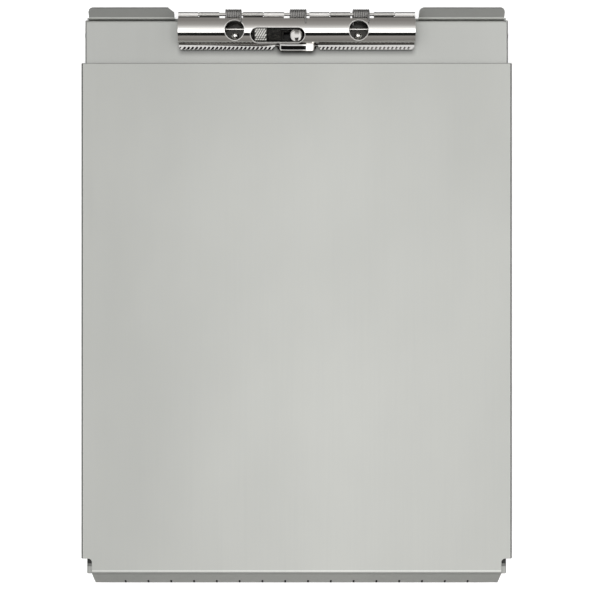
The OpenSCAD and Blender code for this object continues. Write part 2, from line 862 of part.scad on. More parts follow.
// Pair of rivets through an end wall with its outer face at y; turn points the heads outwards
module corner_rivets(y, turn) {
    color(aluminium) centred() both_sides() translate([corner_rivet_x, y, corner_rivet_z])
        rotate([turn, 0, 0]) rivet(rivet_r, rivet_head_r, rivet_head_h, 2 * sheet);
}

module corner_rivets_top() {
    corner_rivets(wall_out, -90);
}

module corner_rivets_bottom() {
    corner_rivets(tray_start, 90);
}

// Rivet that stops the writing plate's tab at the end of its travel, on the right
module stop_rivet() {
    color(aluminium) centred() translate([tray_half, stop_rivet_y, stop_rivet_z])
        rotate([0, 90, 0]) rivet(rivet_r, stop_head_r, stop_head_h, sheet);
}

module stop_rivet_left() {
    mirror([1, 0, 0]) stop_rivet();
}

module stop_rivet_right() {
    stop_rivet();
}

storage_tray();
clip_deck();
writing_plate();
clip_base();
clip_cover();
hinge_pin();
spring_left();
spring_middle();
spring_right();
clip_rivet_left();
clip_rivet_right();
lock_post();
lock_slider();
thumb_pad();
slider_bridge();
deck_rivets_left();
deck_rivets_right();
corner_rivets_top();
corner_rivets_bottom();
stop_rivet_left();
stop_rivet_right();
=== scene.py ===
"""Storage clipboard: metal finishes, softened sheet edges, wire springs and a knurled thumb pad."""

import json
import math

import bmesh
import bpy
from mathutils import Matrix, Vector


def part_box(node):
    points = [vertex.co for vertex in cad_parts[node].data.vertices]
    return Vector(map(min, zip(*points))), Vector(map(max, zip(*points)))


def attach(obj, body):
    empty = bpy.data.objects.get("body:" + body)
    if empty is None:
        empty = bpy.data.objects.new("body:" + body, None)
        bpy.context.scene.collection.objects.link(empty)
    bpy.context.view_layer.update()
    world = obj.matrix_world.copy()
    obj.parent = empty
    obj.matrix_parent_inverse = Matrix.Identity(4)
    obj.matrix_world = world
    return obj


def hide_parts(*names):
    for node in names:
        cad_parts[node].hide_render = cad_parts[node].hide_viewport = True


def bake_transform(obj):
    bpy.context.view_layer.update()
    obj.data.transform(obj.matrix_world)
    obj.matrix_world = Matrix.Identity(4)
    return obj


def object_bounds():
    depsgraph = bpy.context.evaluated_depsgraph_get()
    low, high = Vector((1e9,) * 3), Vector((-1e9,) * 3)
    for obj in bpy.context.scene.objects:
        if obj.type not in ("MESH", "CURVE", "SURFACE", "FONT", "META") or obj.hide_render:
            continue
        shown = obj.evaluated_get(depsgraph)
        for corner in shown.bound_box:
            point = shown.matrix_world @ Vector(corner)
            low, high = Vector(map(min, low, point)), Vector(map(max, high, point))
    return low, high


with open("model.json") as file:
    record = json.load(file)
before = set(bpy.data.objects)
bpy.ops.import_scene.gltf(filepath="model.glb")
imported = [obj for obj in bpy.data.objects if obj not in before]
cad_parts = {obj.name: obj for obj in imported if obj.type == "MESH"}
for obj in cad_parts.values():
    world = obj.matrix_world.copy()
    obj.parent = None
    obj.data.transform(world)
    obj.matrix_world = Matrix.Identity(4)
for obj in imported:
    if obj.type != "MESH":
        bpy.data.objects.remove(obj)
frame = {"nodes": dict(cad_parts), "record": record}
cad_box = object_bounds()

MM = 0.001
# Axes along X of the hinge pin and of the cover's round front
HINGE = Vector((0, 155.417, 21.5)) * MM
ARCH = Vector((0, 146.117, 18.2)) * MM
# Thumb pad: radii round the cover's axis of its underside and of its knurl's valleys, and the knurl's height
PAD_BASE_R = 6.22 * MM
PAD_TOP_R = 7.3 * MM
KNURL_H = 0.28 * MM


# ---------------------------------------------------------------- nodes

def fill(tree, node, inputs):
    """Gives a node its inputs, by name or number: each is a value or another node's output."""
    for name, value in inputs.items():
        if isinstance(value, bpy.types.NodeSocket):
            tree.links.new(value, node.inputs[name])
        else:
            node.inputs[name].default_value = value


def calculated(tree, operation, *values):
    """Result of a math node on the values."""
    step = tree.nodes.new("ShaderNodeMath")
    step.operation = operation
    fill(tree, step, dict(enumerate(values)))
    return step.outputs["Value"]


def ranged(tree, value, low=0.0, high=1.0, start=0.3, end=0.7, smooth=False):
    """The value, spread from start..end to low..high; noise lies mostly between 0.3 and 0.7."""
    spread = tree.nodes.new("ShaderNodeMapRange")
    if smooth:
        spread.interpolation_type = "SMOOTHSTEP"
    fill(tree, spread, {"Value": value, "From Min": start, "From Max": end, "To Min": low, "To Max": high})
    return spread.outputs["Result"]


def faded(tree, value, start, end):
    """1 up to start, falling smoothly to 0 at end; start may be above end; in millimetres."""
    low, high = (1.0, 0.0) if start < end else (0.0, 1.0)
    near, far = min(start, end) * MM, max(start, end) * MM
    return ranged(tree, value, low, high, near, far, smooth=True)


def within(tree, value, low, high):
    """1 where the value lies between two millimetre marks, else 0."""
    return calculated(tree, "COMPARE", value, (low + high) / 2 * MM, (high - low) / 2 * MM)


def product(tree, first, *others):
    """Product of masks or tones."""
    for other in others:
        first = calculated(tree, "MULTIPLY", first, other)
    return first


def changed(tree, mask, change):
    """A tone that is 1 outside the mask, and more or less by the change inside it."""
    return calculated(tree, "MULTIPLY_ADD", mask, change, 1.0)


def mixed(tree, kind, share, first, second, way="MIX"):
    """The first value or colour, going over to the second one by share."""
    mix = tree.nodes.new("ShaderNodeMix")
    mix.data_type = kind
    mix.blend_type = way
    fill(tree, mix, {"Factor": share, "A": first, "B": second})
    return mix.outputs["Result"]


def blended(tree, share, dark, light):
    """A colour between dark and light, by share."""
    return mixed(tree, "RGBA", share, (*dark, 1), (*light, 1))


def scaled(tree, colour, tone):
    """A colour made darker or brighter by a tone."""
    tint = tree.nodes.new("ShaderNodeVectorMath")
    tint.operation = "SCALE"
    fill(tree, tint, {0: colour, "Scale": tone})
    return tint.outputs["Vector"]


def colour_table(tree, share, stops):
    """Colour by share, from (share, colour) stops."""
    table = tree.nodes.new("ShaderNodeValToRGB")
    marks = table.color_ramp.elements
    while len(marks) < len(stops):
        marks.new(0.5)
    for mark, (at, colour) in zip(marks, stops):
        mark.position = at
        mark.color = (*colour, 1)
    fill(tree, table, {"Fac": share})
    return table.outputs["Color"]


def coordinates(tree):
    """Object coordinates, split into X, Y and Z."""
    place = tree.nodes.new("ShaderNodeTexCoord")
    parts = tree.nodes.new("ShaderNodeSeparateXYZ")
    fill(tree, parts, {"Vector": place.outputs["Object"]})
    return parts.outputs


def stretched_noise(tree, scale, detail, roughness=0.5):
    """Noise on Object coordinates, with its own frequency per metre along X, Y and Z."""
    place = tree.nodes.new("ShaderNodeTexCoord")
    mapping = tree.nodes.new("ShaderNodeMapping")
    fill(tree, mapping, {"Vector": place.outputs["Object"], "Scale": scale})
    noise = tree.nodes.new("ShaderNodeTexNoise")
    fill(tree, noise, {"Vector": mapping.outputs["Vector"], "Scale": 1.0,
                       "Detail": detail, "Roughness": roughness})
    return noise.outputs["Fac"]


# ---------------------------------------------------------------- masks and tints by place

def banded(tree, colour, bands):
    """Paints light and shade into a colour along bands: painted shade lines where the tone is under 1 and
    painted highlight lines where it is over 1; bands are (axis, millimetres, half width, tone, lowest Z,
    highest Z).
    """
    place = coordinates(tree)
    tone = 1.0
    for axis, at, half, level, lowest, highest in bands:
        band_mask = calculated(tree, "COMPARE", place[axis], at * MM, half * MM)
        inside = product(tree, band_mask, within(tree, place["Z"], lowest, highest))
        tone = product(tree, changed(tree, inside, level - 1.0), tone)
    return scaled(tree, colour, tone)


# How much darker the painted shade in the plate's closed notch marks is than the sheet
NOTCH_SHADE = -0.95


def notch_shaded(tree, colour, pitch, y_end, half, length, reach):
    """Painted shade strokes every pitch along X out to the reach, where the lip's notches are closed, cut in
    from the edge at y_end; in millimetres.
    """
    place = coordinates(tree)
    share = calculated(tree, "PINGPONG", place["X"], pitch / 2 * MM)
    stroke = calculated(tree, "GREATER_THAN", share, (pitch / 2 - half) * MM)
    near = calculated(tree, "LESS_THAN", place["Y"], (y_end + length) * MM)
    beside = calculated(tree, "ABSOLUTE", place["X"])
    mask = product(tree, stroke, near, calculated(tree, "LESS_THAN", beside, reach * MM))
    return scaled(tree, colour, changed(tree, mask, NOTCH_SHADE))


# Painted light falloff: how much brighter the aluminium of each sheet is painted per metre along X and Y,
# brighter to the right and towards the bottom
LIGHT_FALLOFF_X, LIGHT_FALLOFF_Y = 0.55, -0.27


def painted_light_and_shade(tree, colour, patches):
    """Painted light falloff over a sheet, with patches of painted shadow where the change is below 0 and
    painted light where it is above: (X to both sides, where it ends, Y, where it ends, change).
    """
    place = coordinates(tree)
    tone = calculated(tree, "MULTIPLY_ADD", place["X"], LIGHT_FALLOFF_X, 1.0)
    tone = calculated(tree, "MULTIPLY_ADD", place["Y"], LIGHT_FALLOFF_Y, tone)
    beside = calculated(tree, "ABSOLUTE", place["X"])
    for half, half_end, y, y_end, change in patches:
        patch = product(tree, faded(tree, beside, half, half_end), faded(tree, place["Y"], y, y_end))
        tone = product(tree, tone, changed(tree, patch, change))
    return scaled(tree, colour, tone)


def in_area(tree, area, *values):
    """1 where each of the values lies between its two millimetre marks in the area, else 0."""
    return product(tree, *[within(tree, value, *marks) for value, marks in zip(values, area)])


# Areas of the cover's front, in millimetres from and to: along X to both sides (the tab's once), Y and Z
FOOT_AREA = ((11.6, 65.5), (136.5, 139.6), (17.2, 18.8))
ROOT_AREA = ((9.7, 11.6), (136.9, 139.9), (17.2, 20.5))
TAB_AREA = ((-9.7, 9.7), (135, 139.6), (17.2, 21))
EDGE_Y = (136.5, 136.85)
GROOVE_Y = (136.8, 138.3)
# Grooves of the foot in millimetres: their pitch, how far they lean for each millimetre of length, and where
# the first one to the right and to the left of the tab crosses a line along X
GROOVE_PITCH = 2.25
GROOVE_LEAN = 0.8
GROOVE_LINE_Y, RIGHT_GROOVE_X, LEFT_GROOVE_X = 137.14, 12.3, -13.14
# Half a groove's width, as a share of the pitch
GROOVE_HALF = 0.21
# How much darker the painted shade makes each part; the grooves' extra painted shade and the tab's painted
# shade fade out along X
FOOT_SHADE, ROOT_SHADE, TAB_SHADE, EDGE_SHADE = -0.58, -0.75, -0.6, -0.8
GROOVE_SHADE, EXTRA_GROOVE_SHADE = -0.3, -0.63
EXTRA_FADE = (8, 42)
TAB_FADE = (2, 6)


def painted_foot_shade(tree):
    """Tone of the cover's toothed foot: painted shade over the foot, at the tab's root, in the slanted
    grooves, along the front edge and over the finger tab.
    """
    x, y, z = coordinates(tree)
    beside = calculated(tree, "ABSOLUTE", x)
    foot = in_area(tree, FOOT_AREA, beside, y, z)
    root = in_area(tree, ROOT_AREA, beside, y, z)
    edge = product(tree, foot, within(tree, y, *EDGE_Y))
    # The grooves lean towards +X; the row on the left starts at another place than the one on the right
    leaning = calculated(tree, "MULTIPLY_ADD", y, -GROOVE_LEAN, x)
    right, left = ((GROOVE_LEAN * GROOVE_LINE_Y - first) * MM for first in (RIGHT_GROOVE_X, LEFT_GROOVE_X))
    start = calculated(tree, "MULTIPLY_ADD", calculated(tree, "LESS_THAN", x, 0.0), left - right, right)
    turn = calculated(tree, "DIVIDE", calculated(tree, "ADD", leaning, start), GROOVE_PITCH * MM)
    groove = calculated(tree, "LESS_THAN", calculated(tree, "PINGPONG", turn, 0.5), GROOVE_HALF)
    groove = product(tree, groove, foot, within(tree, y, *GROOVE_Y))
    # Painted shade: the grooves' shade is deeper on the left and fades out towards the right, and the finger
    # tab is shaded except at its right end, which stays bright
    groove_shade = calculated(tree, "MULTIPLY_ADD", faded(tree, x, *EXTRA_FADE), EXTRA_GROOVE_SHADE, GROOVE_SHADE)
    tab = product(tree, in_area(tree, TAB_AREA, x, y, z), faded(tree, x, *TAB_FADE))
    masks = ((foot, FOOT_SHADE), (root, ROOT_SHADE), (groove, groove_shade), (tab, TAB_SHADE), (edge, EDGE_SHADE))
    return product(tree, *[changed(tree, mask, change) for mask, change in masks])


# Rims of the cover's openings in millimetres: middle X and Y, half of the straight run along X, radius and
# width; how far they reach into the opening, and their lowest and highest Z
HOLE_RIMS = (34, 146.317, 0, 5.35, 0.4)
SLOT_RIM = (-10.4, 143.767, 11.15, 3.65, 0.4)
RIM_INSIDE = 0.1
RIM_Z = (19, 30)


def ringed(tree, x, y, half, radius, width):
    """1 on the rim round an opening, and round its twin at -x where x is above 0."""
    place = coordinates(tree)
    across = calculated(tree, "ABSOLUTE", place["X"]) if x > 0 else place["X"]
    across = calculated(tree, "ABSOLUTE", calculated(tree, "SUBTRACT", across, x * MM))
    across = calculated(tree, "MAXIMUM", calculated(tree, "SUBTRACT", across, half * MM), 0.0)
    along = calculated(tree, "SUBTRACT", place["Y"], y * MM)
    squares = calculated(tree, "MULTIPLY_ADD", along, along, product(tree, across, across))
    away = calculated(tree, "SQRT", squares)
    rim = within(tree, away, radius - RIM_INSIDE, radius + width)
    return product(tree, rim, within(tree, place["Z"], *RIM_Z))


# ---------------------------------------------------------------- finishes

# Frequencies per metre of the aluminium's clouds, the plating's wipe marks and waves, and the rough steels
CLOUDS = (16.0, 9.0, 16.0)
WIPES = (40.0, 1600.0, 1600.0)
WAVES = (25.0, 120.0, 120.0)
DRAWN = (900.0, 900.0, 900.0)
OXIDE = (2600.0, 2600.0, 2600.0)
# Share of the clouds in the aluminium's tone, tone of the painted shade in the plating's wave troughs, how
# much less metallic satin is
CLOUD_SHARE = 0.45
TROUGH_SHADE = 0.94
SATIN_CHANGE = -0.5
# Roughness of bright plating, from the smooth to the wiped places
BRIGHT = (0.04, 0.11)


def new_finish(name):
    """A material with its Principled shader; returns the material, its node tree and the shader."""
    finish = bpy.data.materials.new(name)
    finish.use_nodes = True
    return finish, finish.node_tree, finish.node_tree.nodes["Principled BSDF"]


def add_bump(tree, shader, height, distance, strength):
    """Raises the surface by the height value, distance metres high."""
    bump = tree.nodes.new("ShaderNodeBump")
    fill(tree, bump, {"Height": height, "Distance": distance, "Strength": strength})
    fill(tree, shader, {"Normal": bump.outputs["Normal"]})


def aluminium_finish(name, dark, light, bands=(), patches=(), marks=None, grain_x=900.0, grain_y=14.0):
    """Rolled aluminium: a fine grain along Y over soft cloudy patches, with a painted light falloff, patches
    of painted shadow and light, painted shade and highlight lines, and painted shade in the closed notch
    marks.
    """
    finish, tree, shader = new_finish(name)
    grain = stretched_noise(tree, (grain_x, grain_y, grain_x), detail=6.0, roughness=0.65)
    cloud = stretched_noise(tree, CLOUDS, detail=3.0)
    share = mixed(tree, "FLOAT", CLOUD_SHARE, ranged(tree, grain), ranged(tree, cloud))
    colour = painted_light_and_shade(tree, blended(tree, share, dark, light), patches)
    if marks:
        colour = notch_shaded(tree, colour, *marks)
    fill(tree, shader, {"Base Color": banded(tree, colour, bands),
                        "Roughness": ranged(tree, grain, low=0.55, high=0.65), "Metallic": 1.0})
    add_bump(tree, shader, grain, distance=0.01 * MM, strength=0.25)
    return finish


def plated(name, colour, rough):
    """Wavy plating with wipe marks along X and painted shade in the waves' troughs; returns the material, its
    node tree, its shader and its tint.
    """
    finish, tree, shader = new_finish(name)
    wipes = stretched_noise(tree, WIPES, detail=4.0, roughness=0.6)
    waves = stretched_noise(tree, WAVES, detail=2.0)
    fill(tree, shader, {"Roughness": ranged(tree, wipes, *rough), "Metallic": 1.0})
    add_bump(tree, shader, waves, distance=0.12 * MM, strength=0.25)
    trough_shade = [TROUGH_SHADE * part for part in colour]
    return finish, tree, shader, blended(tree, ranged(tree, waves), trough_shade, colour)


def chrome_finish(name, colour, rough=BRIGHT):
    """Plating of one colour."""
    finish, tree, shader, tint = plated(name, colour, rough)
    fill(tree, shader, {"Base Color": tint})
    return finish


def cover_finish(name, colour, bands, satin_from, rims):
    """Bright plating with painted shade lines at its creases and painted shade on its foot and finger tab,
    satin beyond a Y in millimetres and on the rims.
    """
    finish, tree, shader, tint = plated(name, colour, BRIGHT)
    satin = calculated(tree, "GREATER_THAN", coordinates(tree)["Y"], satin_from * MM)
    for rim in rims:
        satin = calculated(tree, "MAXIMUM", satin, ringed(tree, *rim))
    fill(tree, shader, {"Base Color": scaled(tree, banded(tree, tint, bands), painted_foot_shade(tree)),
                        "Metallic": changed(tree, satin, SATIN_CHANGE)})
    return finish


def base_finish(name, stops, bands):
    """Plating of the clip's base, with painted light and shade by place along Y from (millimetres, colour)
    stops.
    """
    finish, tree, shader = new_finish(name)
    first, last = stops[0][0], stops[-1][0]
    share = ranged(tree, coordinates(tree)["Y"], start=first * MM, end=last * MM)
    colour = colour_table(tree, share, [((at - first) / (last - first), colour) for at, colour in stops])
    wipes = stretched_noise(tree, WIPES, detail=4.0, roughness=0.6)
    fill(tree, shader, {"Base Color": banded(tree, colour, bands),
                        "Roughness": ranged(tree, wipes, low=0.2, high=0.34), "Metallic": 0.75})
    return finish


def steel_finish(name, dark, light, rough=(0.28, 0.42)):
    """Drawn spring wire or plain strip steel, dark and a little uneven."""
    finish, tree, shader = new_finish(name)
    drawn = stretched_noise(tree, DRAWN, detail=4.0)
    fill(tree, shader, {"Base Color": blended(tree, ranged(tree, drawn), dark, light),
                        "Roughness": ranged(tree, drawn, *rough), "Metallic": 1.0})
    add_bump(tree, shader, drawn, distance=0.02 * MM, strength=0.3)
    return finish


def knurl_finish(name, valley, top):
    """Nickel on the curved pad, with painted shade in the valleys of its knurl and a painted highlight on the
    points.
    """
    finish, tree, shader = new_finish(name)
    place = tree.nodes.new("ShaderNodeTexCoord")
    # Distance from the cover's axis, along Y and Z only
    flat = tree.nodes.new("ShaderNodeVectorMath")
    flat.operation = "MULTIPLY_ADD"
    fill(tree, flat, {0: place.outputs["Object"], 1: (0, 1, 1), 2: (0, -ARCH.y, -ARCH.z)})
    away = tree.nodes.new("ShaderNodeVectorMath")
    away.operation = "LENGTH"
    fill(tree, away, {0: flat.outputs["Vector"]})
    height = ranged(tree, away.outputs["Value"], start=PAD_TOP_R, end=PAD_TOP_R + KNURL_H)
    fill(tree, shader, {"Base Color": blended(tree, height, valley, top), "Roughness": 0.3, "Metallic": 1.0})
    return finish


def black_finish(name, black, speck):
    """Near-black slide, a painted stand-in for the shade down in the slot: matt and grainy, with small specks
    of wear.
    """
    finish, tree, shader = new_finish(name)
    grain = stretched_noise(tree, OXIDE, detail=3.0, roughness=0.6)
    specks = ranged(tree, grain, start=0.5, end=0.75)
    fill(tree, shader, {"Base Color": blended(tree, specks, black, speck),
                        "Roughness": ranged(tree, grain, low=0.42, high=0.62), "Specular IOR Level": 0.08})
    add_bump(tree, shader, grain, distance=0.03 * MM, strength=0.5)
    return finish


# Colours of the clip's base, painted by place: painted shade where the cover shades it, a painted highlight on
# the bead's top, the plating as lit behind the cover, and painted shade under the pin at its back edge
SHADED, LIT, OPEN, UNDER_PIN_SHADE = (0.03, 0.029, 0.027), (0.9, 0.88, 0.85), (0.6, 0.59, 0.56), (0.06, 0.059, 0.056)

FINISHES = {
    # Tray: painted shadow under the plate's bottom corners, in two bands along Y, and a painted highlight
    # along the ears' bends
    "tray_aluminium": aluminium_finish(
        "tray_mill_aluminium", (0.35, 0.354, 0.34), (0.41, 0.414, 0.398),
        bands=[("Y", -145.7, 1.6, 0.12, 12, 18), ("Y", -148.1, 0.8, 0.5, 12, 18),
               ("Y", 154.2, 0.35, 1.9, 16, 19)]),
    # Deck: painted shade along its side bends, darker on the right, and patches of painted shadow before the
    # clip's front and under the finger tab
    "deck_aluminium": aluminium_finish(
        "deck_mill_aluminium", (0.43, 0.435, 0.418), (0.49, 0.495, 0.476),
        bands=[("X", 116.85, 0.45, 0.12, 15.4, 16.9), ("X", -116.85, 0.45, 0.35, 15.4, 16.9)],
        patches=[(63, 67, 136.8, 132.5, -0.45), (7.5, 12, 136.2, 132.3, -0.75)], grain_x=700.0, grain_y=10.0),
    # Plate: a painted shadow line at its free end, painted shade along its side bends (darker on the right), a
    # painted highlight and painted shade at the fold to the lip, painted light on the lip, a painted pool of
    # light over its middle and lower part, and painted shade in the closed notch marks
    "plate_aluminium": aluminium_finish(
        "plate_brushed_aluminium", (0.43, 0.435, 0.416), (0.5, 0.505, 0.482),
        bands=[("Y", 129.2, 0.3, 0.6, 17, 20), ("X", -118.7, 0.55, 0.3, 15, 20),
               ("X", 118.7, 0.55, 0.1, 15, 20), ("Y", -151.2, 0.4, 1.35, 16, 20),
               ("Y", -152.4, 0.8, 0.7, 9, 20), ("Y", -155.6, 3.6, 1.1, 0, 20)],
        patches=[(15, 115, 40, 150, 0.1)], marks=(12.7, -159.26, 0.5, 1.8, 101.0)),
    "rivet_aluminium": aluminium_finish(
        "rivet_bare_aluminium", (0.5, 0.5, 0.49), (0.62, 0.62, 0.6), grain_x=1500.0, grain_y=1500.0),
    # Base: painted shade and a painted highlight by place along Y, and painted shade under the slot
    "base_chrome": base_finish(
        "base_dull_plating_painted_shade", [
            (139, SHADED), (147.5, SHADED), (147.7, LIT), (148.4, LIT), (148.6, SHADED), (152.3, SHADED),
            (152.8, OPEN), (155.8, OPEN), (156, UNDER_PIN_SHADE)],
        bands=[("X", -8, 17, 0.15, 0, 19)]),
    # Cover: painted shade lines in the creases before and behind the hinge knuckles; the foot and tab get
    # painted shade from the foot's tone
    "cover_chrome": cover_finish(
        "cover_bright_plating", (0.9, 0.885, 0.86),
        bands=[("Y", 153.85, 0.4, 0.08, 19, 26), ("Y", 156.25, 0.4, 0.12, 18, 26)],
        satin_from=154.2, rims=[HOLE_RIMS, SLOT_RIM]),
    "pin_chrome": chrome_finish("pin_bright_plating", (0.82, 0.8, 0.77)),
    "rivet_chrome": chrome_finish("rivet_bright_plating", (0.88, 0.87, 0.84)),
    "post_chrome": chrome_finish("post_bright_plating", (0.44, 0.43, 0.415), (0.12, 0.2)),
    # Pad: painted shade in the knurl's valleys, a painted highlight on its points
    "pad_chrome": knurl_finish("pad_nickel_painted_shade", (0.14, 0.138, 0.13), (0.95, 0.94, 0.9)),
    "bridge_steel": steel_finish("bridge_strip_steel", (0.06, 0.06, 0.058), (0.11, 0.11, 0.105)),
    "spring_steel": steel_finish("spring_dark_wire", (0.22, 0.216, 0.21), (0.3, 0.294, 0.285), (0.42, 0.55)),
    # Slide: near-black as painted shade in the slot
    "slider_black": black_finish("slider_painted_shade_black", (0.003, 0.003, 0.003), (0.09, 0.086, 0.075)),
}


# ---------------------------------------------------------------- pieces

def points_in(made):
    """The points among what a bmesh operation has made."""
    return [part for part in made if isinstance(part, bmesh.types.BMVert)]


def open_edges(shape):
    """The edges of a shape that only one face holds."""
    return [edge for edge in shape.edges if edge.is_boundary]


def finished_piece(shape, name, body, slot, *nodes, smooth_angle=30):
    """Closes a bmesh into a named piece on its body, with the slot's finish, standing for its nodes."""
    mesh = bpy.data.meshes.new(name)
    for face in shape.faces:
        face.smooth = True
    for edge in shape.edges:
        smooth = edge.calc_face_angle(math.pi) < math.radians(smooth_angle)
        edge.smooth = len(edge.link_faces) == 2 and smooth
    shape.to_mesh(mesh)
    shape.free()
    piece = bpy.data.objects.new(name, mesh)
    bpy.context.scene.collection.objects.link(piece)
    mesh.materials.append(FINISHES[slot])
    if body:
        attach(piece, body)
    if nodes:
        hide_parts(*nodes)
    return piece


# Points nearer than this become one, shorter edges go, and faces that turn less than this become one
SAME_POINT = 0.002 * MM
NO_LENGTH = 0.001 * MM
FLAT_ANGLE = math.radians(0.5)
DRESSED_FLAT_ANGLE = math.radians(0.3)
# Edges that turn more than this are rounded, in this many steps; the flat faces' weight in the shading
SHARP_ANGLE = math.radians(35)
EDGE_STEPS = 2
FLAT_WEIGHT = 80


def merged_copy(node):
    """A node's shape as one closed mesh, with its flat faces whole again."""
    shape = bmesh.new()
    shape.from_mesh(frame["nodes"][node].data)
    bmesh.ops.remove_doubles(shape, verts=shape.verts, dist=SAME_POINT)
    bmesh.ops.dissolve_degenerate(shape, dist=NO_LENGTH, edges=shape.edges)
    bmesh.ops.dissolve_limit(shape, angle_limit=FLAT_ANGLE, verts=shape.verts, edges=shape.edges)
    return shape


def soften(shape, radius):
    """Rounds every sharp edge."""
    closed = [edge for edge in shape.edges if len(edge.link_faces) == 2]
    sharp = [edge for edge in closed if edge.calc_face_angle(0) > SHARP_ANGLE]
    bmesh.ops.bevel(shape, geom=sharp, offset=radius, offset_type="OFFSET", affect="EDGES",
                    segments=EDGE_STEPS, profile=0.5, material=-1, clamp_overlap=True)


def add_even_normals(piece):
    """Keeps the flat faces flat in shade, and rounds only the softened edges."""
    even = piece.modifiers.new("even_normals", "WEIGHTED_NORMAL")
    even.keep_sharp = True
    even.mode = "FACE_AREA"
    even.weight = FLAT_WEIGHT


# How far the edges of each part that keeps its solid's shape are rounded, in millimetres
EDGE_RADII = {
    "storage_tray": 0.14, "clip_deck": 0.14, "writing_plate": 0.14, "clip_base": 0.08, "clip_cover": 0.1,
    "hinge_pin": 0.12, "clip_rivet_left": 0.08, "clip_rivet_right": 0.08, "lock_post": 0.08,
    "lock_slider": 0.12, "slider_bridge": 0.08, "deck_rivets_left": 0.06, "deck_rivets_right": 0.06,
    "corner_rivets_top": 0.08, "corner_rivets_bottom": 0.08, "stop_rivet_left": 0.08,
    "stop_rivet_right": 0.08,
}


def body_holding(node):
    """Name of the body that a node belongs to."""
    bodies = frame["record"]["behaviour"]["bodies"]
    return next(body for body, nodes in bodies.items() if node in nodes)


def slot_of(node):
    """Name of the material slot that a node takes."""
    return frame["nodes"][node].material_slots[0].material.name.split(".")[0]


# Outer radius of the hinge knuckles, as cut and as dressed, and how near to it their points lie
KNUCKLE_R, ROLLED_R = 1.6 * MM, 1.2 * MM
KNUCKLE_NEAR = 0.1 * MM


def roll_tight(shape):
    """Draws the hinge knuckles in, close round the pin."""
    for point in shape.verts:
        away = Vector((0, point.co.y - HINGE.y, point.co.z - HINGE.z))
        if abs(away.length - KNUCKLE_R) < KNUCKLE_NEAR:
            point.co += (ROLLED_R / KNUCKLE_R - 1) * away


# Cover's front along Y: the foot's edge, the back of its fillet and the start of the wall's curve, as cut and
# as dressed
FOOT_Y, FILLET_Y, CURVE_Y = 136.117 * MM, 138.9 * MM, 140.2 * MM
DRESSED_FOOT_Y, DRESSED_FILLET_Y = 136.65 * MM, 139.68 * MM
# The foot's slope goes from 17.5 to 8 degrees, as far back as the wall and up to the top of the fillet
FOOT_DROP = math.tan(math.radians(17.5)) - math.tan(math.radians(8))
WALL_BACK = 139.62 * MM
FILLET_TOP_Z = 19.4 * MM
# Root of the tab: half of its width, its underside and how much of its height stays
TAB_HALF = 9.65 * MM
FOOT_Z = 17.3 * MM
ROOT_SHARE = 0.4


def dress_cover(shape):
    """Steepens the cover's wall, flattens its foot and presses the tab's root down under the finger tab."""
    foot_stretch = (DRESSED_FILLET_Y - DRESSED_FOOT_Y) / (FILLET_Y - FOOT_Y)
    wall_stretch = (CURVE_Y - DRESSED_FILLET_Y) / (CURVE_Y - FILLET_Y)
    for point in shape.verts:
        y = point.co.y
        if y < CURVE_Y and point.co.z < FILLET_TOP_Z:
            point.co.z -= FOOT_DROP * (min(max(y, FOOT_Y), WALL_BACK) - FOOT_Y)
        if abs(point.co.x) < TAB_HALF and y < FILLET_Y:
            point.co.z = FOOT_Z + ROOT_SHARE * (point.co.z - FOOT_Z)
        if y < FILLET_Y:
            point.co.y = DRESSED_FOOT_Y + (y - FOOT_Y) * foot_stretch
        elif y < CURVE_Y:
            point.co.y = CURVE_Y - (CURVE_Y - y) * wall_stretch


# Lock post: its axis, the dome's underside, the rim's height as dressed, how near to the underside its points
# lie, how much wider the dome gets and how much of its height stays
POST_X, POST_Y = -0.3 * MM, 143.767 * MM
DOME_UNDER_Z = 21.9 * MM
DOME_RIM_Z = 22.6 * MM
DOME_NEAR = 0.05 * MM
DOME_WIDER = 0.08
DOME_SHARE = 0.45


def dress_post(shape):
    """Widens and flattens the lock post's dome."""
    for point in shape.verts:
        if point.co.z > DOME_UNDER_Z - DOME_NEAR:
            point.co.x += DOME_WIDER * (point.co.x - POST_X)
            point.co.y += DOME_WIDER * (point.co.y - POST_Y)
        if point.co.z > DOME_UNDER_Z + DOME_NEAR:
            point.co.z = DOME_RIM_Z + DOME_SHARE * (point.co.z - DOME_UNDER_Z)


# Plate: a line before its free end, and how much further that end goes
END_Y = 128 * MM
END_REACH = 0.9 * MM
# Lip: a line before its edge, the sum of Y and Z at the marks' roots and how near to it their points lie, the
# way from there to the edge, along Y and down, and how near to each other a closed mark's points are
LIP_Y = -157.5 * MM
MARK_ROOT = -146.56 * MM
MARK_NEAR = 0.15 * MM
MARK_RUN = 0.6364 * MM
CLOSED_MARK = 0.02 * MM


def dress_plate(shape):
    """Draws the plate's free end a little further over the deck, and closes the marks' notches in the lip."""
    lip = [point for point in shape.verts if point.co.y < LIP_Y]
    for point in shape.verts:
        if point.co.y > END_Y:
            point.co.y += END_REACH
    # The closed notches get painted shade from the plate's finish
    for point in lip:
        if abs(point.co.y + point.co.z - MARK_ROOT) < MARK_NEAR:
            point.co.y -= MARK_RUN
            point.co.z -= MARK_RUN
    bmesh.ops.remove_doubles(shape, verts=lip, dist=CLOSED_MARK)


# Deck: where its side flanges lie along X, a line just before their back ends, and where those ends go
FLANGE_X = 115.83 * MM
FLANGE_BACK_Y = 151.5 * MM
FLANGE_END_Y = 153.3 * MM


def dress_deck(shape):
    """Lengthens the deck's side flanges up to its back edge."""
    for point in shape.verts:
        if abs(point.co.x) > FLANGE_X and point.co.y > FLANGE_BACK_Y:
            point.co.y = FLANGE_END_Y


DRESSING = {
    "clip_base": [roll_tight], "clip_deck": [dress_deck], "clip_cover": [roll_tight, dress_cover],
    "writing_plate": [dress_plate], "lock_post": [dress_post],
}


